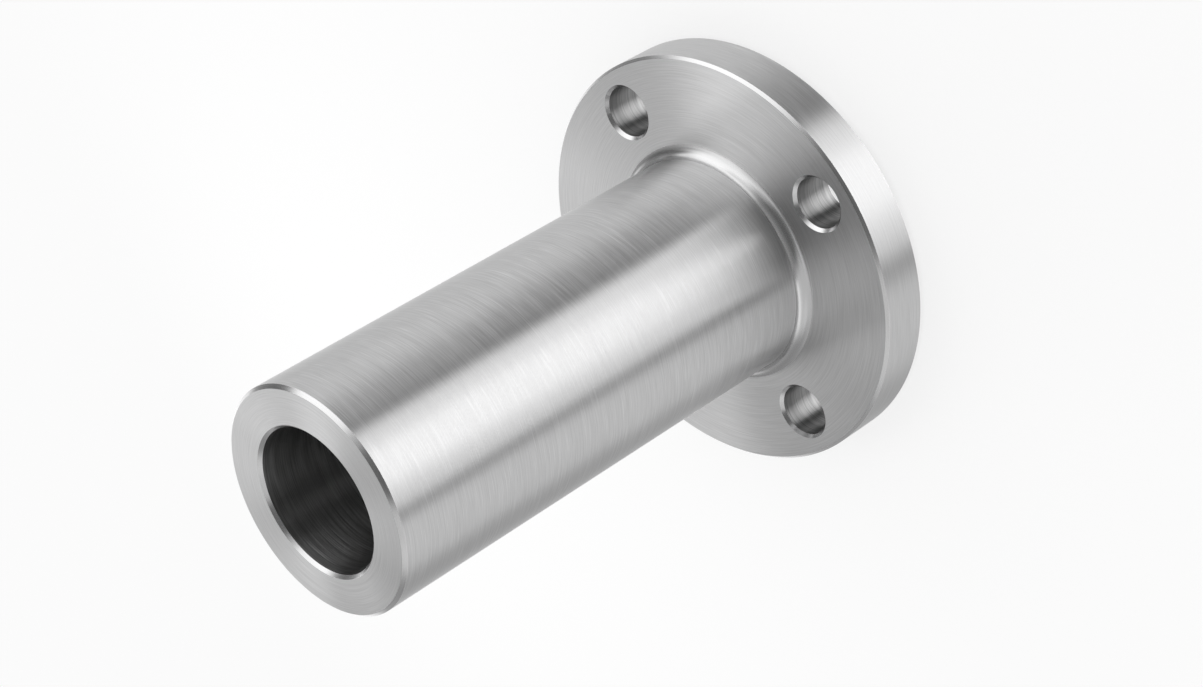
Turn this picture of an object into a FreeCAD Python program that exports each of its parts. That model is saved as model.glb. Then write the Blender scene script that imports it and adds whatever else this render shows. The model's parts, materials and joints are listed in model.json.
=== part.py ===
import FreeCAD, Part
import math
import os

# Long weld neck flange, turned in one piece: a flange disc with a raised gasket face,
# a long thick-walled neck blended into its back, a straight bore and four bolt holes.
# Millimetres. The origin is the centre of the gasket face, +Z runs up the bore towards
# the weld end, so the part stands on its gasket face.

# Driving dimensions of the flange disc
flange_diameter = 152.4
flange_thickness = 18.0
rim_back_chamfer = 1.0
rim_front_chamfer = 0.5

# Raised gasket face on the front of the disc
raised_face_diameter = 92.1
raised_face_height = 2.0
raised_face_edge = 0.3

# Neck, from the back of the disc to the weld end
neck_length = 186.5
neck_wall = 14.6
neck_fillet_radius = 5.0
weld_end_chamfer = 1.2

# Straight bore through the whole part
bore_diameter = 50.8
bore_weld_chamfer = 1.1
bore_gasket_chamfer = 0.5

# Bolt holes, whose centres keep their distance from the rim
bolt_count = 4
bolt_edge_distance = 15.875
bolt_hole_diameter = 18.5
bolt_hole_chamfer = 1.1

# A cutter runs this far past a face, so that the cut leaves no skin
cut_clearance = 1.0

# Places that follow from the sizes above
bore_radius = bore_diameter / 2
neck_radius = bore_radius + neck_wall
flange_radius = flange_diameter / 2
bolt_circle_radius = flange_radius - bolt_edge_distance
raised_face_radius = raised_face_diameter / 2
disc_front_z = raised_face_height
disc_back_z = disc_front_z + flange_thickness
weld_end_z = disc_back_z + neck_length

AXIS_START = FreeCAD.Vector(0, 0, 0)
AXIS_UP = FreeCAD.Vector(0, 0, 1)


def section_point(radius, height):
    """A point of the turned section, in the plane through the axis."""
    return FreeCAD.Vector(radius, 0, height)


def revolve_section(edges):
    """Turn a closed outline once round the axis into a solid."""
    outline = Part.Wire(Part.sortEdges(edges)[0])
    return Part.Face(outline).revolve(AXIS_START, AXIS_UP, 360)


def straight_edges(points):
    """Straight edges that join the points in order."""
    return [Part.makeLine(start, end) for start, end in zip(points, points[1:])]


def fillet_edge():
    """The quarter arc that blends the neck into the back of the disc."""
    centre_r = neck_radius + neck_fillet_radius
    centre_z = disc_back_z + neck_fillet_radius
    middle_r = centre_r - neck_fillet_radius * math.cos(math.radians(45))
    middle_z = centre_z - neck_fillet_radius * math.sin(math.radians(45))
    return Part.Arc(
        section_point(centre_r, disc_back_z),
        section_point(middle_r, middle_z),
        section_point(neck_radius, centre_z),
    ).toShape()


def turned_body():
    """Disc, raised face, neck and bore, as the lathe leaves them."""
    below_fillet = [
        section_point(bore_radius, bore_gasket_chamfer),
        section_point(bore_radius + bore_gasket_chamfer, 0),
        section_point(raised_face_radius - raised_face_edge, 0),
        section_point(raised_face_radius, raised_face_edge),
        section_point(raised_face_radius, disc_front_z),
        section_point(flange_radius - rim_front_chamfer, disc_front_z),
        section_point(flange_radius, disc_front_z + rim_front_chamfer),
        section_point(flange_radius, disc_back_z - rim_back_chamfer),
        section_point(flange_radius - rim_back_chamfer, disc_back_z),
        section_point(neck_radius + neck_fillet_radius, disc_back_z),
    ]
    above_fillet = [
        section_point(neck_radius, disc_back_z + neck_fillet_radius),
        section_point(neck_radius, weld_end_z - weld_end_chamfer),
        section_point(neck_radius - weld_end_chamfer, weld_end_z),
        section_point(bore_radius + bore_weld_chamfer, weld_end_z),
        section_point(bore_radius, weld_end_z - bore_weld_chamfer),
        section_point(bore_radius, bore_gasket_chamfer),
    ]
    edges = straight_edges(below_fillet) + [fillet_edge()] + straight_edges(above_fillet)
    return revolve_section(edges)


def bolt_hole_cutter():
    """The space of one bolt hole with its two countersunk edges, on the main axis."""
    hole_radius = bolt_hole_diameter / 2
    mouth_radius = hole_radius + bolt_hole_chamfer
    flare_radius = mouth_radius + cut_clearance
    outline = [
        section_point(0, disc_front_z - cut_clearance),
        section_point(flare_radius, disc_front_z - cut_clearance),
        section_point(mouth_radius, disc_front_z),
        section_point(hole_radius, disc_front_z + bolt_hole_chamfer),
        section_point(hole_radius, disc_back_z - bolt_hole_chamfer),
        section_point(mouth_radius, disc_back_z),
        section_point(flare_radius, disc_back_z + cut_clearance),
        section_point(0, disc_back_z + cut_clearance),
        section_point(0, disc_front_z - cut_clearance),
    ]
    return revolve_section(straight_edges(outline))


def bolt_hole_cutters():
    """One cutter for each bolt; the holes straddle the X and Y axes."""
    pitch_angle = 360 / bolt_count
    cutters = []
    for index in range(bolt_count):
        cutter = bolt_hole_cutter()
        cutter.translate(FreeCAD.Vector(bolt_circle_radius, 0, 0))
        cutter.rotate(AXIS_START, AXIS_UP, pitch_angle * (index + 0.5))
        cutters.append(cutter)
    return cutters


def long_weld_neck():
    """The finished part: the turned body with its bolt holes drilled."""
    body = turned_body()
    for cutter in bolt_hole_cutters():
        body = body.cut(cutter)
    return body.Solids[0]


os.makedirs("parts", exist_ok=True)
flange = long_weld_neck()
flange.exportStep("parts/long_weld_neck.step")
print(f"long_weld_neck: valid {flange.isValid()}, volume {flange.Volume:.0f} mm3, height {weld_end_z:.1f} mm")
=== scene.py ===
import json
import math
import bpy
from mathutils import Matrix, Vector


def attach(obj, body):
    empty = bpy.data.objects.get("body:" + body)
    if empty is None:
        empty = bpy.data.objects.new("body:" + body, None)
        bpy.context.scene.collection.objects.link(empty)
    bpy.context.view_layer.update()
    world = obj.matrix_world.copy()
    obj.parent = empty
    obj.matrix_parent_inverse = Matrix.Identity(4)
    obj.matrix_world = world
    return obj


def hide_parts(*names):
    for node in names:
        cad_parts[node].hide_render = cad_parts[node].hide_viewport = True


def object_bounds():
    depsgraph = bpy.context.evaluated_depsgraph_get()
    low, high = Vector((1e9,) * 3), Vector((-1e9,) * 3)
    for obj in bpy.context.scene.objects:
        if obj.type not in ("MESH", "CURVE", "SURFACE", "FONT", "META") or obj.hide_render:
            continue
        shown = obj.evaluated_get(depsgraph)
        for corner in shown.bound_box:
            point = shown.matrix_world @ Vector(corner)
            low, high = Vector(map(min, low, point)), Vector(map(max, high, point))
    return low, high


bl_info = {
    "name": "Long weld neck flange",
    "version": (1, 0, 0),
    "blender": (4, 5, 0),
    "location": "3D View > Sidebar > Flange",
    "description": "A turned steel long weld neck flange, with its floor, light and camera",
    "category": "Add Mesh",
}

from typing import NamedTuple

import bmesh
import bpy
from bpy.props import FloatProperty, FloatVectorProperty, PointerProperty
from mathutils import Matrix, Vector

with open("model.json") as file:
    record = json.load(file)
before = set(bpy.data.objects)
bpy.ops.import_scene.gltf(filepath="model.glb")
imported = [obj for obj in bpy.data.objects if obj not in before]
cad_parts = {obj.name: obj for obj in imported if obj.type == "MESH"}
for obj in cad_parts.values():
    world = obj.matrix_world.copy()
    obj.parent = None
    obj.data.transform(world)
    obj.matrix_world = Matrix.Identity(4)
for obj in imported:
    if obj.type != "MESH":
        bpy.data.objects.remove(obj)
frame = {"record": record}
cad_low, cad_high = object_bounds()
mounts = {mount["name"]: mount["dims"] for mount in frame["record"]["mounts"]}

NODE = "long_weld_neck"
PIECE = "turned_flange"
MILLIMETRE = 0.001

# The bolt holes straddle the X and Y axes, one in each quarter
BOLT_COUNT = 4

# Faces round the axis, round a bolt hole, across the neck blend and across a broken edge
TURN_STEPS = 360
HOLE_STEPS = 96
BLEND_STEPS = 16
ROUND_STEPS = 2

# An edge this sharp is broken by a small round, and stays hard in the shading
SHARP_ANGLE = math.radians(30)

# A face or ring this near to a stated place counts as lying on it
PLACE_TOLERANCE = 0.05 * MILLIMETRE

# Vertices closer than this are one
MERGE_DISTANCE = 0.001 * MILLIMETRE

# A bevel with this profile follows a quarter circle
ROUND_PROFILE = 0.5

# How far a unit normal points along the axis: less than this on an upright wall, and more than
# this on the cap of a cylinder, on a level face and on the foot of the blend
UPRIGHT_BELOW = 0.2
CAP_ABOVE = 0.9
LEVEL_ABOVE = 0.97
BLEND_FOOT_ABOVE = 0.985

# A cutter runs this far past the face that it cuts
CUT_CLEARANCE = 1.0 * MILLIMETRE

# A quarter turn of the gloss, from along the tool marks to across them
ACROSS_THE_MARKS = 0.25

# The noise behind the tool marks: its usual range, the detail of the fine lines, how much wider
# and longer the broad lines are, and the share of the fine ones
NOISE_LOW = 0.3
NOISE_HIGH = 0.7
LINE_DETAIL = 1.0
BROAD_PITCH = 6.0
BROAD_STREAK = 3.0
FINE_SHARE = 0.95

# Scratches are the noise's peaks alone, a little wider and shorter than the fine lines
SCRATCH_PITCH = 1.3
SCRATCH_LENGTH = 0.7
SCRATCH_FROM = 0.6
SCRATCH_TO = 0.7


class FlangeSizes(bpy.types.PropertyGroup):
    """The sizes of the turned flange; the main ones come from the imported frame."""

    flange_radius: FloatProperty(
        name="Flange radius",
        description="Radius of the disc",
        default=cad_high.x,
        subtype="DISTANCE",
    )
    overall_length: FloatProperty(
        name="Overall length",
        description="From the gasket face to the weld end",
        default=cad_high.z,
        subtype="DISTANCE",
    )
    neck_radius: FloatProperty(
        name="Neck radius",
        description="Outer radius of the long neck",
        default=mounts["neck"]["r_mm"] * MILLIMETRE,
        subtype="DISTANCE",
    )
    bore_radius: FloatProperty(
        name="Bore radius",
        description="Radius of the straight bore",
        default=mounts["bore"]["r_mm"] * MILLIMETRE,
        subtype="DISTANCE",
    )
    bolt_circle_radius: FloatProperty(
        name="Bolt circle radius",
        description="From the axis to the middle of a bolt hole",
        default=mounts["bolt_circle"]["pcd_mm"] / 2 * MILLIMETRE,
        subtype="DISTANCE",
    )
    bolt_hole_radius: FloatProperty(
        name="Bolt hole radius",
        description="Radius of a bolt hole",
        default=mounts["bolt_circle"]["hole_r_mm"] * MILLIMETRE,
        subtype="DISTANCE",
    )
    disc_thickness: FloatProperty(
        name="Disc thickness",
        description="Thickness of the disc without its raised face",
        default=18 * MILLIMETRE,
        subtype="DISTANCE",
    )
    raised_face_radius: FloatProperty(
        name="Raised face radius",
        description="Outer radius of the gasket face",
        default=46.05 * MILLIMETRE,
        subtype="DISTANCE",
    )
    raised_face_height: FloatProperty(
        name="Raised face height",
        description="Height of the gasket face over the disc",
        default=2 * MILLIMETRE,
        subtype="DISTANCE",
    )
    neck_blend: FloatProperty(
        name="Neck blend",
        description="Radius of the blend between disc and neck",
        default=5 * MILLIMETRE,
        subtype="DISTANCE",
    )
    rim_back_chamfer: FloatProperty(
        name="Rim back chamfer",
        description="Chamfer of the rim on the neck side",
        default=1 * MILLIMETRE,
        subtype="DISTANCE",
    )
    rim_front_chamfer: FloatProperty(
        name="Rim front chamfer",
        description="Chamfer of the rim on the gasket side",
        default=0.5 * MILLIMETRE,
        subtype="DISTANCE",
    )
    raised_face_edge: FloatProperty(
        name="Raised face edge",
        description="Chamfer round the gasket face",
        default=0.3 * MILLIMETRE,
        subtype="DISTANCE",
    )
    weld_end_chamfer: FloatProperty(
        name="Weld end chamfer",
        description="Outer chamfer of the weld end",
        default=1.2 * MILLIMETRE,
        subtype="DISTANCE",
    )
    bore_weld_chamfer: FloatProperty(
        name="Bore chamfer, weld end",
        description="Chamfer of the bore at the weld end",
        default=1.1 * MILLIMETRE,
        subtype="DISTANCE",
    )
    bore_gasket_chamfer: FloatProperty(
        name="Bore chamfer, gasket face",
        description="Chamfer of the bore at the gasket face",
        default=0.5 * MILLIMETRE,
        subtype="DISTANCE",
    )
    bolt_hole_chamfer: FloatProperty(
        name="Bolt hole chamfer",
        description="Chamfer of each bolt hole mouth",
        default=1.1 * MILLIMETRE,
        subtype="DISTANCE",
    )
    edge_round: FloatProperty(
        name="Edge round",
        description="Width of the small round that breaks each sharp edge",
        default=0.06 * MILLIMETRE,
        subtype="DISTANCE",
        precision=5,
    )
    groove_pitch: FloatProperty(
        name="Gasket groove pitch",
        description="Distance between the ring grooves of the gasket face",
        default=0.8 * MILLIMETRE,
        subtype="DISTANCE",
        precision=5,
    )
    groove_depth: FloatProperty(
        name="Gasket groove depth",
        description="Depth of the ring grooves of the gasket face",
        default=0.05 * MILLIMETRE,
        subtype="DISTANCE",
        precision=5,
    )
    groove_margin: FloatProperty(
        name="Gasket groove margin",
        description="Plain width left at the gasket face's edges",
        default=1 * MILLIMETRE,
        subtype="DISTANCE",
    )


class FlangeFinish(bpy.types.PropertyGroup):
    """The colours of the steel; the bore's and the bolt holes' are set dark as painted shade."""

    steel_colour: FloatVectorProperty(
        name="Steel",
        description="Colour of the turned steel",
        default=(0.58, 0.58, 0.582),
        subtype="COLOR",
        min=0,
        max=1,
    )
    chamfer_colour: FloatVectorProperty(
        name="Chamfers",
        description="Colour of the freshly cut chamfers",
        default=(0.62, 0.62, 0.622),
        subtype="COLOR",
        min=0,
        max=1,
    )
    # Painted shade: the bore's colour is set dark to stand for the shade deep inside the bore, not
    # for a duller steel
    bore_shade_colour: FloatVectorProperty(
        name="Bore",
        description="Colour of the bore, dulled by cutting oil",
        default=(0.3, 0.3, 0.3),
        subtype="COLOR",
        min=0,
        max=1,
    )
    # Painted shade: the bolt hole walls' colour is set dark to stand for the shade inside the
    # holes
    hole_shade_colour: FloatVectorProperty(
        name="Bolt holes",
        description="Colour of the drilled walls of the bolt holes",
        default=(0.27, 0.27, 0.27),
        subtype="COLOR",
        min=0,
        max=1,
    )


class FlangeStudio(bpy.types.PropertyGroup):
    """The look of the floor."""

    floor_colour: FloatVectorProperty(
        name="Floor",
        description="Colour of the plain floor",
        default=(0.9, 0.9, 0.9),
        subtype="COLOR",
        min=0,
        max=1,
    )
    floor_glow: FloatProperty(
        name="Floor glow",
        description="How far the camera sees the floor as plain white instead of its lit colour",
        default=0.65,
        min=0,
        max=1,
    )


# Modelling helpers


def deselect_objects():
    """Leave nothing selected, because an operator acts on all that is."""
    bpy.ops.object.select_all(action="DESELECT")


def enter_edit(piece):
    """Select one piece alone and open it in edit mode."""
    deselect_objects()
    piece.select_set(True)
    bpy.context.view_layer.objects.active = piece
    bpy.ops.object.mode_set(mode="EDIT")


def leave_edit():
    """Go back to object mode."""
    bpy.ops.object.mode_set(mode="OBJECT")


def select_faces(piece, wanted):
    """In edit mode, select the faces for which wanted(centre, normal) holds."""
    bpy.ops.mesh.select_mode(type="FACE")
    bpy.ops.mesh.select_all(action="DESELECT")
    mesh = bmesh.from_edit_mesh(piece.data)
    for face in mesh.faces:
        face.select_set(bool(wanted(face.calc_center_median(), face.normal)))
    bmesh.update_edit_mesh(piece.data)


def select_edges(piece, wanted):
    """In edit mode, select the edges for which wanted(edge) holds."""
    bpy.ops.mesh.select_mode(type="EDGE")
    bpy.ops.mesh.select_all(action="DESELECT")
    mesh = bmesh.from_edit_mesh(piece.data)
    for edge in mesh.edges:
        edge.select_set(bool(wanted(edge)))
    bmesh.update_edit_mesh(piece.data)


def near(value, place):
    """Whether a coordinate lies on a stated place."""
    return abs(value - place) < PLACE_TOLERANCE


def axis_distance(point):
    """Distance of a point from the axis of the part."""
    return math.hypot(point.x, point.y)


def select_cap(piece, height, upwards):
    """In edit mode, select the flat cap on the axis at this height."""
    sign = 1 if upwards else -1
    select_faces(
        piece,
        lambda centre, normal: near(centre.z, height)
        and axis_distance(centre) < PLACE_TOLERANCE
        and normal.z * sign > CAP_ABOVE,
    )


def select_ring(piece, radius, height):
    """In edit mode, select the ring of edges at this radius and height."""
    select_edges(
        piece,
        lambda edge: all(
            near(axis_distance(end.co), radius) and near(end.co.z, height)
            for end in edge.verts
        ),
    )


def inset_cap(width, rise=0.0):
    """Inset the selected cap by a width, and raise the inner face."""
    bpy.ops.mesh.inset(thickness=width, depth=rise)


def extrude_cap(rise):
    """Extrude the selected cap along the axis."""
    bpy.ops.mesh.extrude_region_move(TRANSFORM_OT_translate={"value": (0, 0, rise)})


def bevel_edges(width, steps=1):
    """Chamfer the selected edges, or round them when there are several steps."""
    bpy.ops.mesh.bevel(
        offset_type="OFFSET",
        offset=width,
        segments=steps,
        profile=ROUND_PROFILE,
        affect="EDGES",
        clamp_overlap=False,
    )


def apply_modifier(piece, kind, name, **settings):
    """Add a modifier with its settings and apply it."""
    deselect_objects()
    piece.select_set(True)
    bpy.context.view_layer.objects.active = piece
    modifier = piece.modifiers.new(name, kind)
    for setting, value in settings.items():
        setattr(modifier, setting, value)
    bpy.ops.object.modifier_apply(modifier=modifier.name)


# The turned flange


class Places:
    """Heights and radii that follow from the sizes."""

    def __init__(self, sizes):
        self.disc_front = sizes.raised_face_height
        self.disc_back = sizes.raised_face_height + sizes.disc_thickness
        self.weld_end = sizes.overall_length
        self.blend_foot = sizes.neck_radius + sizes.neck_blend
        self.blend_top = self.disc_back + sizes.neck_blend
        self.hole_offset = sizes.bolt_circle_radius * math.cos(math.pi / BOLT_COUNT)
        self.hole_mouth = sizes.bolt_hole_radius + sizes.bolt_hole_chamfer


def add_disc(sizes, places):
    """The blank: a disc of the flange's diameter and thickness."""
    deselect_objects()
    bpy.ops.mesh.primitive_cylinder_add(
        vertices=TURN_STEPS,
        radius=sizes.flange_radius,
        depth=sizes.disc_thickness,
        end_fill_type="NGON",
        location=(0, 0, (places.disc_front + places.disc_back) / 2),
    )
    blank = bpy.context.object
    blank.name = PIECE
    blank.data.name = PIECE
    bpy.ops.object.transform_apply(location=True, rotation=True, scale=True)
    return blank


def raise_neck(blank, sizes, places):
    """Draw the long neck out of the back of the disc."""
    select_cap(blank, places.disc_back, upwards=True)
    inset_cap(sizes.flange_radius - sizes.neck_radius)
    extrude_cap(places.weld_end - places.disc_back)
    inset_cap(sizes.neck_radius - sizes.bore_radius)


def raise_gasket_face(blank, sizes, places):
    """Raise the gasket face on the front and cut its ring grooves."""
    select_cap(blank, places.disc_front, upwards=False)
    inset_cap(sizes.flange_radius - sizes.raised_face_radius)
    extrude_cap(-places.disc_front)
    grooved_from = sizes.raised_face_radius - sizes.raised_face_edge - sizes.groove_margin
    grooved_to = sizes.bore_radius + sizes.bore_gasket_chamfer + sizes.groove_margin
    inset_cap(sizes.raised_face_radius - grooved_from)
    groove_count = int((grooved_from - grooved_to) / sizes.groove_pitch)
    for groove in range(groove_count):
        inset_cap(sizes.groove_pitch / 2, -sizes.groove_depth)
        inset_cap(sizes.groove_pitch / 2, sizes.groove_depth)
    inset_cap(grooved_from - groove_count * sizes.groove_pitch - sizes.bore_radius)


def open_bore(blank, places):
    """Join the two inner caps into the straight bore."""
    select_faces(
        blank,
        lambda centre, normal: axis_distance(centre) < PLACE_TOLERANCE
        and (near(centre.z, 0) or near(centre.z, places.weld_end)),
    )
    bpy.ops.mesh.bridge_edge_loops()


def chamfer_ring(blank, radius, height, width, steps=1):
    """Chamfer one turned edge, or round it when it has several steps."""
    select_ring(blank, radius, height)
    bevel_edges(width, steps)


def chamfer_edges(blank, sizes, places):
    """Blend the neck, and chamfer the rim, the gasket face, the weld end and the bore."""
    chamfer_ring(blank, sizes.neck_radius, places.disc_back, sizes.neck_blend, BLEND_STEPS)
    chamfer_ring(blank, sizes.flange_radius, places.disc_back, sizes.rim_back_chamfer)
    chamfer_ring(blank, sizes.flange_radius, places.disc_front, sizes.rim_front_chamfer)
    chamfer_ring(blank, sizes.raised_face_radius, 0, sizes.raised_face_edge)
    chamfer_ring(blank, sizes.neck_radius, places.weld_end, sizes.weld_end_chamfer)
    chamfer_ring(blank, sizes.bore_radius, places.weld_end, sizes.bore_weld_chamfer)
    chamfer_ring(blank, sizes.bore_radius, 0, sizes.bore_gasket_chamfer)


def break_sharp_edges(blank, width):
    """Take the sharpness off every hard edge with a small round."""
    select_edges(
        blank,
        lambda edge: len(edge.link_faces) == 2 and edge.calc_face_angle() > SHARP_ANGLE,
    )
    bevel_edges(width, ROUND_STEPS)


def flare_cutter(cutter, centre, height, rise, radius_from, radius_to):
    """Extrude one cap of the cutter along its axis and widen it."""
    sign = 1 if rise > 0 else -1
    select_faces(
        cutter, lambda middle, normal: near(middle.z, height) and normal.z * sign > CAP_ABOVE
    )
    extrude_cap(rise)
    widen = radius_to / radius_from
    bpy.ops.transform.resize(
        value=(widen, widen, 1),
        center_override=(centre.x, centre.y, height + rise),
    )


def add_hole_cutters(sizes, places):
    """The space of one bolt hole with its chamfered mouths, then the whole ring of them."""
    deselect_objects()
    centre = Vector((places.hole_offset, places.hole_offset, 0))
    straight_from = places.disc_front + sizes.bolt_hole_chamfer
    straight_to = places.disc_back - sizes.bolt_hole_chamfer
    bpy.ops.mesh.primitive_cylinder_add(
        vertices=HOLE_STEPS,
        radius=sizes.bolt_hole_radius,
        depth=straight_to - straight_from,
        end_fill_type="NGON",
        location=(centre.x, centre.y, (straight_from + straight_to) / 2),
    )
    cutter = bpy.context.object
    bpy.ops.object.transform_apply(location=True, rotation=True, scale=True)
    enter_edit(cutter)
    past_face = sizes.bolt_hole_chamfer + CUT_CLEARANCE
    flare_radius = sizes.bolt_hole_radius + past_face
    flare_cutter(cutter, centre, straight_to, past_face, sizes.bolt_hole_radius, flare_radius)
    flare_cutter(cutter, centre, straight_from, -past_face, sizes.bolt_hole_radius, flare_radius)
    select_edges(
        cutter,
        lambda edge: all(near(end.co.z, straight_from) for end in edge.verts)
        or all(near(end.co.z, straight_to) for end in edge.verts),
    )
    bevel_edges(sizes.edge_round, ROUND_STEPS)
    bpy.ops.mesh.select_all(action="SELECT")
    copies = BOLT_COUNT - 1
    bpy.ops.mesh.spin(
        dupli=True,
        steps=copies,
        angle=math.tau * copies / BOLT_COUNT,
        center=(0, 0, 0),
        axis=(0, 0, 1),
    )
    bpy.ops.mesh.select_all(action="SELECT")
    bpy.ops.mesh.normals_make_consistent(inside=False)
    leave_edit()
    return cutter


def drill_bolt_holes(body, sizes, places):
    """Cut the ring of bolt holes through the disc."""
    cutters = add_hole_cutters(sizes, places)
    apply_modifier(
        body, "BOOLEAN", "bolt_holes", operation="DIFFERENCE", solver="EXACT", object=cutters
    )
    bpy.data.objects.remove(cutters)


def finish_mesh(body):
    """Merge doubles, point the faces outwards and set the shading of flats and rounds."""
    enter_edit(body)
    bpy.ops.mesh.select_all(action="SELECT")
    bpy.ops.mesh.remove_doubles(threshold=MERGE_DISTANCE)
    bpy.ops.mesh.normals_make_consistent(inside=False)
    leave_edit()
    deselect_objects()
    body.select_set(True)
    bpy.context.view_layer.objects.active = body
    bpy.ops.object.shade_smooth_by_angle(angle=SHARP_ANGLE)
    apply_modifier(
        body, "WEIGHTED_NORMAL", "flat_faces", keep_sharp=True, mode="FACE_AREA", weight=50
    )


# Finishes of the steel


def add_node(tree, kind, **settings):
    """Add a node and set its properties."""
    node = tree.nodes.new(kind)
    for name, value in settings.items():
        setattr(node, name, value)
    return node


def feed(tree, socket, value):
    """Link an output to a socket, or write a plain value into it."""
    if isinstance(value, bpy.types.NodeSocket):
        tree.links.new(value, socket)
    else:
        socket.default_value = value


def combine(tree, operation, *values):
    """A math node; each value is an output or a plain number."""
    node = add_node(tree, "ShaderNodeMath", operation=operation)
    for socket, value in zip(node.inputs, values):
        feed(tree, socket, value)
    return node.outputs[0]


def point(tree, x, y, z):
    """A vector of three values."""
    node = add_node(tree, "ShaderNodeCombineXYZ")
    for socket, value in zip(node.inputs, (x, y, z)):
        feed(tree, socket, value)
    return node.outputs[0]


def spread(tree, value, from_low, from_high, to_low, to_high):
    """Map one range to another and hold the result inside it."""
    node = add_node(tree, "ShaderNodeMapRange")
    for name, setting in (
        ("Value", value),
        ("From Min", from_low),
        ("From Max", from_high),
        ("To Min", to_low),
        ("To Max", to_high),
    ):
        feed(tree, node.inputs[name], setting)
    return node.outputs["Result"]


def noise(tree, place, detail):
    """Cloudy noise at a place that is already scaled."""
    node = add_node(tree, "ShaderNodeTexNoise", noise_dimensions="3D")
    feed(tree, node.inputs["Vector"], place)
    node.inputs["Scale"].default_value = 1.0
    node.inputs["Detail"].default_value = detail
    return node.outputs[0]


def new_group(name, inputs, outputs):
    """A shader node group; inputs maps each socket's name to its default."""
    group = bpy.data.node_groups.new(name, "ShaderNodeTree")
    for socket_name, default in inputs.items():
        kind = "NodeSocketVector" if default is None else "NodeSocketFloat"
        socket = group.interface.new_socket(socket_name, in_out="INPUT", socket_type=kind)
        if default is not None:
            socket.default_value = default
    for socket_name in outputs:
        group.interface.new_socket(socket_name, in_out="OUTPUT", socket_type="NodeSocketFloat")
    entry = add_node(group, "NodeGroupInput")
    leave = add_node(group, "NodeGroupOutput")
    return group, entry.outputs, leave.inputs


def tool_marks_group():
    """Fine lines and a few light scratches, which run round the axis on walls and faces alike.

    Along the section the lines are told apart by height minus radius, which grows steadily
    from the rim over the disc, the blend and the neck to the weld end.
    """
    group, given, made = new_group(
        "tool_marks",
        {
            "Position": None,
            "Pitch": 0.2 * MILLIMETRE,
            "Streak": 15 * MILLIMETRE,
            "Tone Change": 0.1,
            "Roughness": 0.45,
            "Roughness Change": 0.05,
            "Scratches": 0.1,
        },
        ("Tone", "Roughness"),
    )
    parts = add_node(group, "ShaderNodeSeparateXYZ")
    group.links.new(given["Position"], parts.inputs[0])
    x, y, z = parts.outputs
    radius = combine(
        group,
        "SQRT",
        combine(group, "ADD", combine(group, "MULTIPLY", x, x), combine(group, "MULTIPLY", y, y)),
    )
    along = combine(group, "SUBTRACT", z, radius)

    def lines(pitch_factor, streak_factor, detail):
        """Noise that is fine along the section and drawn out round the axis."""
        streak = combine(group, "MULTIPLY", given["Streak"], streak_factor)
        pitch = combine(group, "MULTIPLY", given["Pitch"], pitch_factor)
        place = point(
            group,
            combine(group, "DIVIDE", x, streak),
            combine(group, "DIVIDE", y, streak),
            combine(group, "DIVIDE", along, pitch),
        )
        return noise(group, place, detail)

    fine = spread(group, lines(1.0, 1.0, LINE_DETAIL), NOISE_LOW, NOISE_HIGH, -1.0, 1.0)
    broad = spread(group, lines(BROAD_PITCH, BROAD_STREAK, 0.0), NOISE_LOW, NOISE_HIGH, -1.0, 1.0)
    broad_part = combine(group, "MULTIPLY", broad, 1 - FINE_SHARE)
    marks = combine(group, "MULTIPLY_ADD", fine, FINE_SHARE, broad_part)
    scratch = spread(
        group, lines(SCRATCH_PITCH, SCRATCH_LENGTH, 0.0), SCRATCH_FROM, SCRATCH_TO, 0.0, 1.0
    )
    tone = combine(group, "MULTIPLY_ADD", marks, given["Tone Change"], 1.0)
    scratched = combine(group, "MULTIPLY_ADD", scratch, given["Scratches"], tone)
    group.links.new(scratched, made["Tone"])
    rough = combine(group, "MULTIPLY_ADD", marks, given["Roughness Change"], given["Roughness"])
    group.links.new(rough, made["Roughness"])
    return group


def round_the_hole(tree, place, hole_offset):
    """The place seen from the middle of the nearest bolt hole, and the direction round it."""
    parts = add_node(tree, "ShaderNodeSeparateXYZ")
    tree.links.new(place, parts.inputs[0])

    def from_the_middle(value):
        """A coordinate counted from the hole that is on its own side."""
        middle = combine(tree, "MULTIPLY", combine(tree, "SIGN", value), hole_offset)
        return combine(tree, "SUBTRACT", value, middle)

    x = from_the_middle(parts.outputs["X"])
    y = from_the_middle(parts.outputs["Y"])
    turn = add_node(
        tree,
        "ShaderNodeVectorTransform",
        vector_type="VECTOR",
        convert_from="OBJECT",
        convert_to="WORLD",
    )
    tree.links.new(point(tree, combine(tree, "MULTIPLY", y, -1.0), x, 0.0), turn.inputs[0])
    return point(tree, x, y, parts.outputs["Z"]), turn.outputs[0]


class Cut(NamedTuple):
    """The finish that one kind of cut leaves on the steel."""

    colour: tuple
    roughness: float
    anisotropy: float
    pitch: float = 0.2 * MILLIMETRE
    streak: float = 15 * MILLIMETRE
    tone_change: float = 0.1
    roughness_change: float = 0.03
    scratches: float = 0.03
    round_a_hole: bool = False


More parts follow.
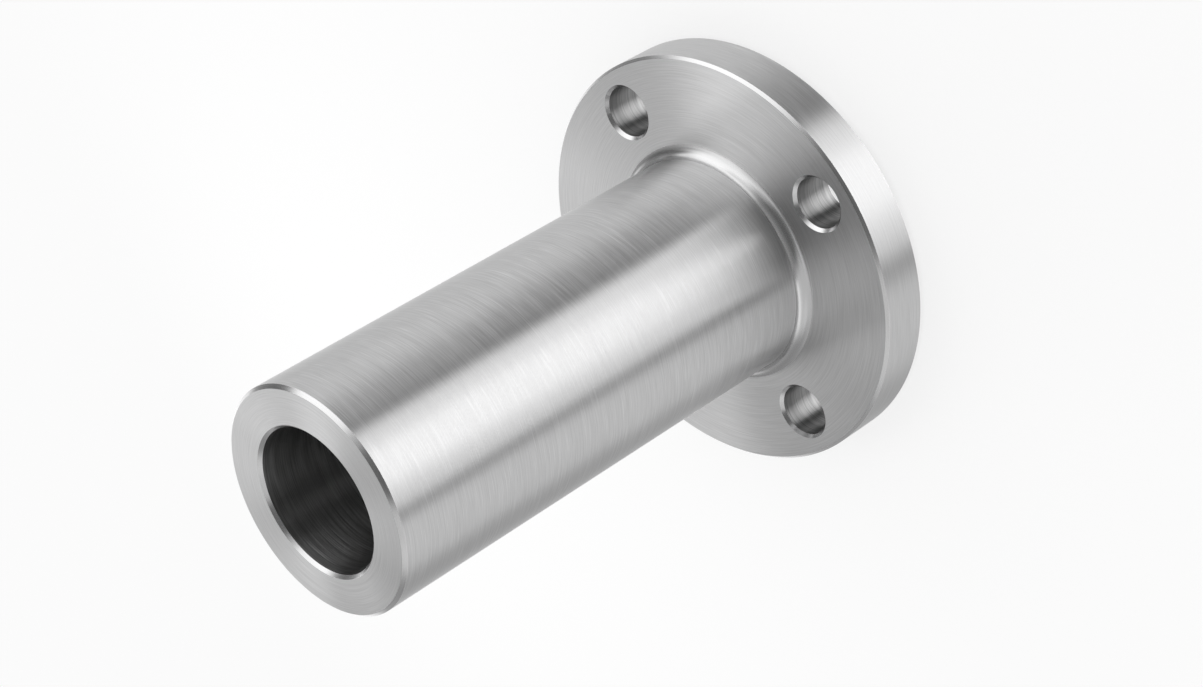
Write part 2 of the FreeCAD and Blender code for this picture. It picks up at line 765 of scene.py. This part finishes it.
def turned_material(name, cut, marks, hole_offset):
    """Turned steel: its gloss is spread across the tool marks, so lamps draw bands and sectors."""
    material = bpy.data.materials.new(name)
    material.use_nodes = True
    tree = material.node_tree
    shader = tree.nodes["Principled BSDF"]
    shader.inputs["Metallic"].default_value = 1.0
    shader.inputs["Anisotropic"].default_value = cut.anisotropy
    shader.inputs["Anisotropic Rotation"].default_value = ACROSS_THE_MARKS
    place = add_node(tree, "ShaderNodeTexCoord").outputs["Object"]
    if cut.round_a_hole:
        place, tangent = round_the_hole(tree, place, hole_offset)
    else:
        tangent = add_node(tree, "ShaderNodeTangent", direction_type="RADIAL", axis="Z").outputs[0]
    tree.links.new(tangent, shader.inputs["Tangent"])
    lines = add_node(tree, "ShaderNodeGroup", node_tree=marks)
    for socket_name, value in (
        ("Position", place),
        ("Pitch", cut.pitch),
        ("Streak", cut.streak),
        ("Tone Change", cut.tone_change),
        ("Roughness", cut.roughness),
        ("Roughness Change", cut.roughness_change),
        ("Scratches", cut.scratches),
    ):
        feed(tree, lines.inputs[socket_name], value)
    tint = add_node(tree, "ShaderNodeVectorMath", operation="SCALE")
    tint.inputs[0].default_value = cut.colour
    tree.links.new(lines.outputs["Tone"], tint.inputs["Scale"])
    tree.links.new(tint.outputs[0], shader.inputs["Base Color"])
    tree.links.new(lines.outputs["Roughness"], shader.inputs["Roughness"])
    return material


def steel_materials(finish, places):
    """One material for each kind of cut on the part."""
    steel = tuple(finish.steel_colour)
    fresh = tuple(finish.chamfer_colour)
    # The bore's dark colour is painted shade inside the bore
    shaded_bore = tuple(finish.bore_shade_colour)
    # The bolt holes' dark colour is painted shade inside the holes
    drilled = tuple(finish.hole_shade_colour)
    cuts = {
        "neck": Cut(steel, roughness=0.36, anisotropy=1.0, roughness_change=0.04, scratches=0.1),
        "face": Cut(steel, roughness=0.38, anisotropy=0.97),
        "blend": Cut(
            steel,
            roughness=0.22,
            anisotropy=0.4,
            tone_change=0.02,
            roughness_change=0.02,
            scratches=0.0,
        ),
        "rim": Cut(steel, roughness=0.36, anisotropy=1.0),
        "chamfer": Cut(fresh, roughness=0.24, anisotropy=0.5, tone_change=0.05, scratches=0.0),
        "bore": Cut(
            shaded_bore,
            roughness=0.35,
            anisotropy=0.9,
            tone_change=0.3,
            roughness_change=0.06,
            scratches=0.0,
        ),
        "hole": Cut(
            drilled,
            roughness=0.4,
            anisotropy=0.6,
            pitch=0.5 * MILLIMETRE,
            tone_change=0.3,
            scratches=0.0,
            round_a_hole=True,
        ),
        "mouth": Cut(fresh, roughness=0.24, anisotropy=0.5, scratches=0.0, round_a_hole=True),
        "gasket": Cut(steel, roughness=0.35, anisotropy=0.9, tone_change=0.06, scratches=0.0),
    }
    marks = tool_marks_group()
    return {
        zone: turned_material(f"steel_{zone}", cut, marks, places.hole_offset)
        for zone, cut in cuts.items()
    }


def zone_of(centre, normal, sizes, places):
    """Which cut made the face with this centre and normal."""
    radius = axis_distance(centre)
    along_axis = abs(normal.z)
    upright = along_axis < UPRIGHT_BELOW
    level = along_axis > LEVEL_ABOVE
    hole_distance = math.hypot(
        abs(centre.x) - places.hole_offset, abs(centre.y) - places.hole_offset
    )
    if hole_distance < places.hole_mouth and not level:
        return "hole" if upright else "mouth"
    if upright and near(radius, sizes.bore_radius):
        return "bore"
    if upright and radius > places.blend_foot + sizes.neck_blend:
        return "rim"
    in_blend = radius < places.blend_foot and places.disc_back < centre.z < places.blend_top
    on_neck = near(radius, sizes.neck_radius) and centre.z > places.blend_top
    if upright and (in_blend or on_neck):
        return "neck"
    if in_blend:
        return "face" if along_axis > BLEND_FOOT_ABOVE else "blend"
    faced_heights = (places.disc_front, places.disc_back, places.weld_end)
    if level and any(near(centre.z, height) for height in faced_heights):
        return "face"
    if level and centre.z < places.disc_front / 2:
        return "gasket"
    return "chamfer"


def dress_body(body, finish, sizes, places):
    """Give each cut its own finish."""
    materials = steel_materials(finish, places)
    for material in materials.values():
        body.data.materials.append(material)
    zones = list(materials)
    for face in body.data.polygons:
        face.material_index = zones.index(zone_of(face.center, face.normal, sizes, places))


class FLANGE_OT_turned_body(bpy.types.Operator):
    """Turn the flange with its neck, drill its bolt holes and give it its finishes"""

    bl_idname = "flange.turned_body"
    bl_label = "Turned flange"

    def execute(self, context):
        sizes = context.scene.flange_sizes
        places = Places(sizes)
        body = add_disc(sizes, places)
        enter_edit(body)
        raise_neck(body, sizes, places)
        raise_gasket_face(body, sizes, places)
        open_bore(body, places)
        chamfer_edges(body, sizes, places)
        break_sharp_edges(body, sizes.edge_round)
        leave_edit()
        drill_bolt_holes(body, sizes, places)
        finish_mesh(body)
        dress_body(body, context.scene.flange_finish, sizes, places)
        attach(body, "root")
        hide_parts(NODE)
        return {"FINISHED"}


# The stage

# The camera looks at this point from this far away
CAMERA_AIM = Vector((0.0027, -0.0026, 0.0805))
CAMERA_DISTANCE = 0.910
CAMERA_AZIMUTH = math.radians(46.173)
CAMERA_ELEVATION = math.radians(37.008)
CAMERA_ROLL = math.radians(121.240)
CAMERA_LENS = 81.373
CAMERA_SENSOR = 36.0

# The floor is wide, dull and round, and lies this little under the gasket face, so that the two
# don't fight
FLOOR_HEIGHT = -0.1 * MILLIMETRE
FLOOR_RADIUS = 6.0
FLOOR_SIDES = 128
FLOOR_ROUGHNESS = 0.9

# A soft box stands behind the part, on the side of the disc's upper left in the picture
SOFT_BOX_AZIMUTH = math.radians(215)
SOFT_BOX_DISTANCE = 0.28
SOFT_BOX_HEIGHT = 0.27
SOFT_BOX_AIM = Vector((0, 0, 0.12))
SOFT_BOX_WIDTH = 0.15
SOFT_BOX_TALL = 0.3
SOFT_BOX_POWER = 0.14


def add_camera():
    """The camera looks down on the weld end, rolled so that the neck points to the lower left."""
    flat = math.cos(CAMERA_ELEVATION)
    back = Vector((
        flat * math.cos(CAMERA_AZIMUTH),
        flat * math.sin(CAMERA_AZIMUTH),
        math.sin(CAMERA_ELEVATION),
    ))
    level_right = Vector((-math.sin(CAMERA_AZIMUTH), math.cos(CAMERA_AZIMUTH), 0))
    level_up = back.cross(level_right)
    up = level_up * math.cos(CAMERA_ROLL) + level_right * math.sin(CAMERA_ROLL)
    right = up.cross(back)
    data = bpy.data.cameras.new("photo_camera")
    data.sensor_fit = "HORIZONTAL"
    data.sensor_width = CAMERA_SENSOR
    data.lens = CAMERA_LENS
    camera = bpy.data.objects.new("photo_camera", data)
    bpy.context.scene.collection.objects.link(camera)
    camera.matrix_world = Matrix.LocRotScale(
        CAMERA_AIM + back * CAMERA_DISTANCE,
        Matrix((right, up, back)).transposed().to_quaternion(),
        None,
    )
    bpy.context.scene.camera = camera


def add_floor(studio):
    """A plain pale floor just under the part; the steel mirrors the surroundings in its place."""
    deselect_objects()
    bpy.ops.mesh.primitive_circle_add(
        vertices=FLOOR_SIDES,
        radius=FLOOR_RADIUS,
        fill_type="NGON",
        location=(0, 0, FLOOR_HEIGHT),
    )
    floor = bpy.context.object
    floor.name = "floor"
    bpy.ops.object.transform_apply(location=True, rotation=True, scale=True)
    material = bpy.data.materials.new("floor")
    material.use_nodes = True
    tree = material.node_tree
    shader = tree.nodes["Principled BSDF"]
    shader.inputs["Base Color"].default_value = (*studio.floor_colour, 1)
    shader.inputs["Roughness"].default_value = FLOOR_ROUGHNESS
    shader.inputs["Specular IOR Level"].default_value = 0.0
    white = add_node(tree, "ShaderNodeEmission")
    blend = add_node(tree, "ShaderNodeMixShader")
    light_path = add_node(tree, "ShaderNodeLightPath")
    share = combine(tree, "MULTIPLY", light_path.outputs["Is Camera Ray"], studio.floor_glow)
    tree.links.new(share, blend.inputs[0])
    tree.links.new(shader.outputs[0], blend.inputs[1])
    tree.links.new(white.outputs[0], blend.inputs[2])
    tree.links.new(blend.outputs[0], tree.nodes["Material Output"].inputs["Surface"])
    floor.data.materials.append(material)
    floor.visible_glossy = False
    floor.visible_shadow = False


class Panel(NamedTuple):
    """A soft-edged panel of light or shade, between two azimuths in degrees."""

    start: float
    end: float
    edge: float
    strength: float


class Ring(NamedTuple):
    """The surroundings from one height up to the next ring.

    The height and the fade from the ring below are in degrees.
    """

    low: float
    fade: float
    base: float
    panels: tuple


# The rings join here, behind the part, where each of them shows a plain stretch
RING_START = -150

# A long bright strip low in front, shades beside and over it, and a tall light on the side that
# is the upper left in the picture
RINGS = (
    Ring(low=-90, fade=1, base=1.3, panels=(
        Panel(start=-98, end=-62, edge=16, strength=0.62),
        Panel(start=-50, end=-12, edge=8, strength=0.9),
        Panel(start=-2, end=-1, edge=3, strength=0.35),
        Panel(start=7, end=12, edge=10, strength=1.9),
        Panel(start=32, end=54, edge=16, strength=2.6),
        Panel(start=66, end=74, edge=8, strength=2.1),
        Panel(start=85, end=100, edge=18, strength=0.05),
        Panel(start=134, end=150, edge=20, strength=0.6),
        Panel(start=175, end=184, edge=14, strength=1.1),
    )),
    Ring(low=-8, fade=5, base=1.2, panels=(
        Panel(start=-98, end=-70, edge=16, strength=0.45),
        Panel(start=-45, end=-10, edge=10, strength=1.35),
        Panel(start=-2, end=-1, edge=3, strength=0.35),
        Panel(start=12, end=68, edge=14, strength=0.4),
        Panel(start=96, end=138, edge=12, strength=1.6),
        Panel(start=166, end=188, edge=10, strength=0.3),
    )),
    Ring(low=12, fade=5, base=0.35, panels=(
        Panel(start=-115, end=-75, edge=16, strength=0.35),
        Panel(start=-50, end=-8, edge=10, strength=0.8),
        Panel(start=12, end=68, edge=14, strength=0.25),
        Panel(start=95, end=105, edge=20, strength=1.1),
        Panel(start=120, end=146, edge=14, strength=1.7),
        Panel(start=163, end=190, edge=10, strength=0.15),
    )),
    Ring(low=32, fade=6, base=0.37, panels=(
        Panel(start=-110, end=-80, edge=16, strength=0.4),
        Panel(start=-60, end=-45, edge=12, strength=0.9),
        Panel(start=-30, end=-8, edge=12, strength=0.75),
        Panel(start=12, end=66, edge=12, strength=0.15),
        Panel(start=92, end=94, edge=12, strength=1.2),
        Panel(start=105, end=152, edge=12, strength=1.6),
        Panel(start=176, end=190, edge=12, strength=0.35),
    )),
    Ring(low=48, fade=6, base=0.6, panels=(
        Panel(start=-110, end=-50, edge=16, strength=0.75),
        Panel(start=-30, end=-8, edge=12, strength=0.75),
        Panel(start=12, end=66, edge=12, strength=0.15),
        Panel(start=105, end=190, edge=14, strength=1.4),
    )),
    Ring(low=68, fade=6, base=0.85, panels=(
        Panel(start=-20, end=80, edge=20, strength=0.2),
    )),
)


def ring_ramp(tree, place, ring):
    """The strength round one ring, as a ramp through the edges of its panels."""
    node = add_node(tree, "ShaderNodeValToRGB")
    tree.links.new(place, node.inputs[0])
    ramp = node.color_ramp
    ramp.interpolation = "EASE"
    stops = [(RING_START, ring.base), (RING_START + 360, ring.base)]
    for panel in ring.panels:
        stops.append((panel.start, panel.strength))
        stops.append((panel.end, panel.strength))
    for before, after in zip(ring.panels, ring.panels[1:]):
        gap_from = before.end + before.edge
        gap_to = after.start - after.edge
        if gap_to > gap_from:
            stops.append((gap_from, ring.base))
            stops.append((gap_to, ring.base))
    stops.append((ring.panels[0].start - ring.panels[0].edge, ring.base))
    stops.append((ring.panels[-1].end + ring.panels[-1].edge, ring.base))
    stops.sort()
    while len(ramp.elements) < len(stops):
        ramp.elements.new(0.5)
    for element, (azimuth, strength) in zip(ramp.elements, stops):
        element.position = (azimuth - RING_START) / 360
        element.color = (strength, strength, strength, 1)
    return node.outputs["Color"]


def set_world():
    """The surroundings that the steel mirrors, as rings of soft light and shade.

    The camera and the floor see plain white instead.
    """
    world = bpy.data.worlds.new("studio")
    world.use_nodes = True
    tree = world.node_tree
    direction = add_node(tree, "ShaderNodeSeparateXYZ")
    tree.links.new(add_node(tree, "ShaderNodeTexCoord").outputs["Generated"], direction.inputs[0])
    x, y, z = direction.outputs
    azimuth = combine(tree, "ARCTAN2", y, x)
    start = math.radians(RING_START)
    turned = combine(tree, "WRAP", azimuth, start + math.tau, start)
    place = spread(tree, turned, start, start + math.tau, 0.0, 1.0)
    elevation = combine(tree, "ARCSINE", z)
    light = None
    for ring in RINGS:
        strength = ring_ramp(tree, place, ring)
        if light is None:
            light = strength
            continue
        fade_from = math.radians(ring.low - ring.fade)
        fade_to = math.radians(ring.low + ring.fade)
        above = spread(tree, elevation, fade_from, fade_to, 0.0, 1.0)
        blend = add_node(tree, "ShaderNodeMix", data_type="FLOAT")
        feed(tree, blend.inputs["Factor"], above)
        feed(tree, blend.inputs["A"], light)
        feed(tree, blend.inputs["B"], strength)
        light = blend.outputs[0]
    light_path = add_node(tree, "ShaderNodeLightPath")
    seen = add_node(tree, "ShaderNodeMix", data_type="FLOAT")
    plain = combine(
        tree, "MAXIMUM", light_path.outputs["Is Camera Ray"], light_path.outputs["Is Diffuse Ray"]
    )
    feed(tree, seen.inputs["Factor"], plain)
    feed(tree, seen.inputs["A"], light)
    seen.inputs["B"].default_value = 1.0
    background = tree.nodes["Background"]
    background.inputs["Color"].default_value = (1, 1, 1, 1)
    tree.links.new(seen.outputs[0], background.inputs["Strength"])
    bpy.context.scene.world = world


def add_soft_box():
    """One soft box, which the steel mirrors and the camera doesn't see."""
    place = Vector((
        SOFT_BOX_DISTANCE * math.cos(SOFT_BOX_AZIMUTH),
        SOFT_BOX_DISTANCE * math.sin(SOFT_BOX_AZIMUTH),
        SOFT_BOX_HEIGHT,
    ))
    data = bpy.data.lights.new("soft_box", "AREA")
    data.shape = "RECTANGLE"
    data.size = SOFT_BOX_WIDTH
    data.size_y = SOFT_BOX_TALL
    data.energy = SOFT_BOX_POWER
    lamp = bpy.data.objects.new("soft_box", data)
    bpy.context.scene.collection.objects.link(lamp)
    turn = (SOFT_BOX_AIM - place).to_track_quat("-Z", "Y")
    lamp.matrix_world = Matrix.LocRotScale(place, turn, None)
    lamp.visible_camera = False


class FLANGE_OT_studio(bpy.types.Operator):
    """Set up the floor, the surroundings, the soft box and the camera"""

    bl_idname = "flange.studio"
    bl_label = "Studio"

    def execute(self, context):
        studio = context.scene.flange_studio
        add_floor(studio)
        set_world()
        add_soft_box()
        add_camera()
        context.scene.view_settings.view_transform = "Standard"
        return {"FINISHED"}


class FLANGE_PT_panel(bpy.types.Panel):
    """Sizes, finishes and steps of the flange"""

    bl_label = "Long weld neck flange"
    bl_idname = "FLANGE_PT_panel"
    bl_space_type = "VIEW_3D"
    bl_region_type = "UI"
    bl_category = "Flange"

    def draw(self, context):
        layout = self.layout
        scene = context.scene
        for group in (scene.flange_sizes, scene.flange_finish, scene.flange_studio):
            box = layout.box()
            for name in group.bl_rna.properties.keys():
                if name not in ("rna_type", "name"):
                    box.prop(group, name)
        for step in STEPS:
            layout.operator(step.bl_idname)


STEPS = (FLANGE_OT_turned_body, FLANGE_OT_studio)
CLASSES = (FlangeSizes, FlangeFinish, FlangeStudio, *STEPS, FLANGE_PT_panel)


def register():
    for item in CLASSES:
        bpy.utils.register_class(item)
    bpy.types.Scene.flange_sizes = PointerProperty(type=FlangeSizes)
    bpy.types.Scene.flange_finish = PointerProperty(type=FlangeFinish)
    bpy.types.Scene.flange_studio = PointerProperty(type=FlangeStudio)


def unregister():
    del bpy.types.Scene.flange_studio
    del bpy.types.Scene.flange_finish
    del bpy.types.Scene.flange_sizes
    for item in reversed(CLASSES):
        bpy.utils.unregister_class(item)


def main():
    """Build the flange and its stage, step by step."""
    register()
    bpy.ops.flange.turned_body()
    bpy.ops.flange.studio()


if __name__ == "__main__":
    main()
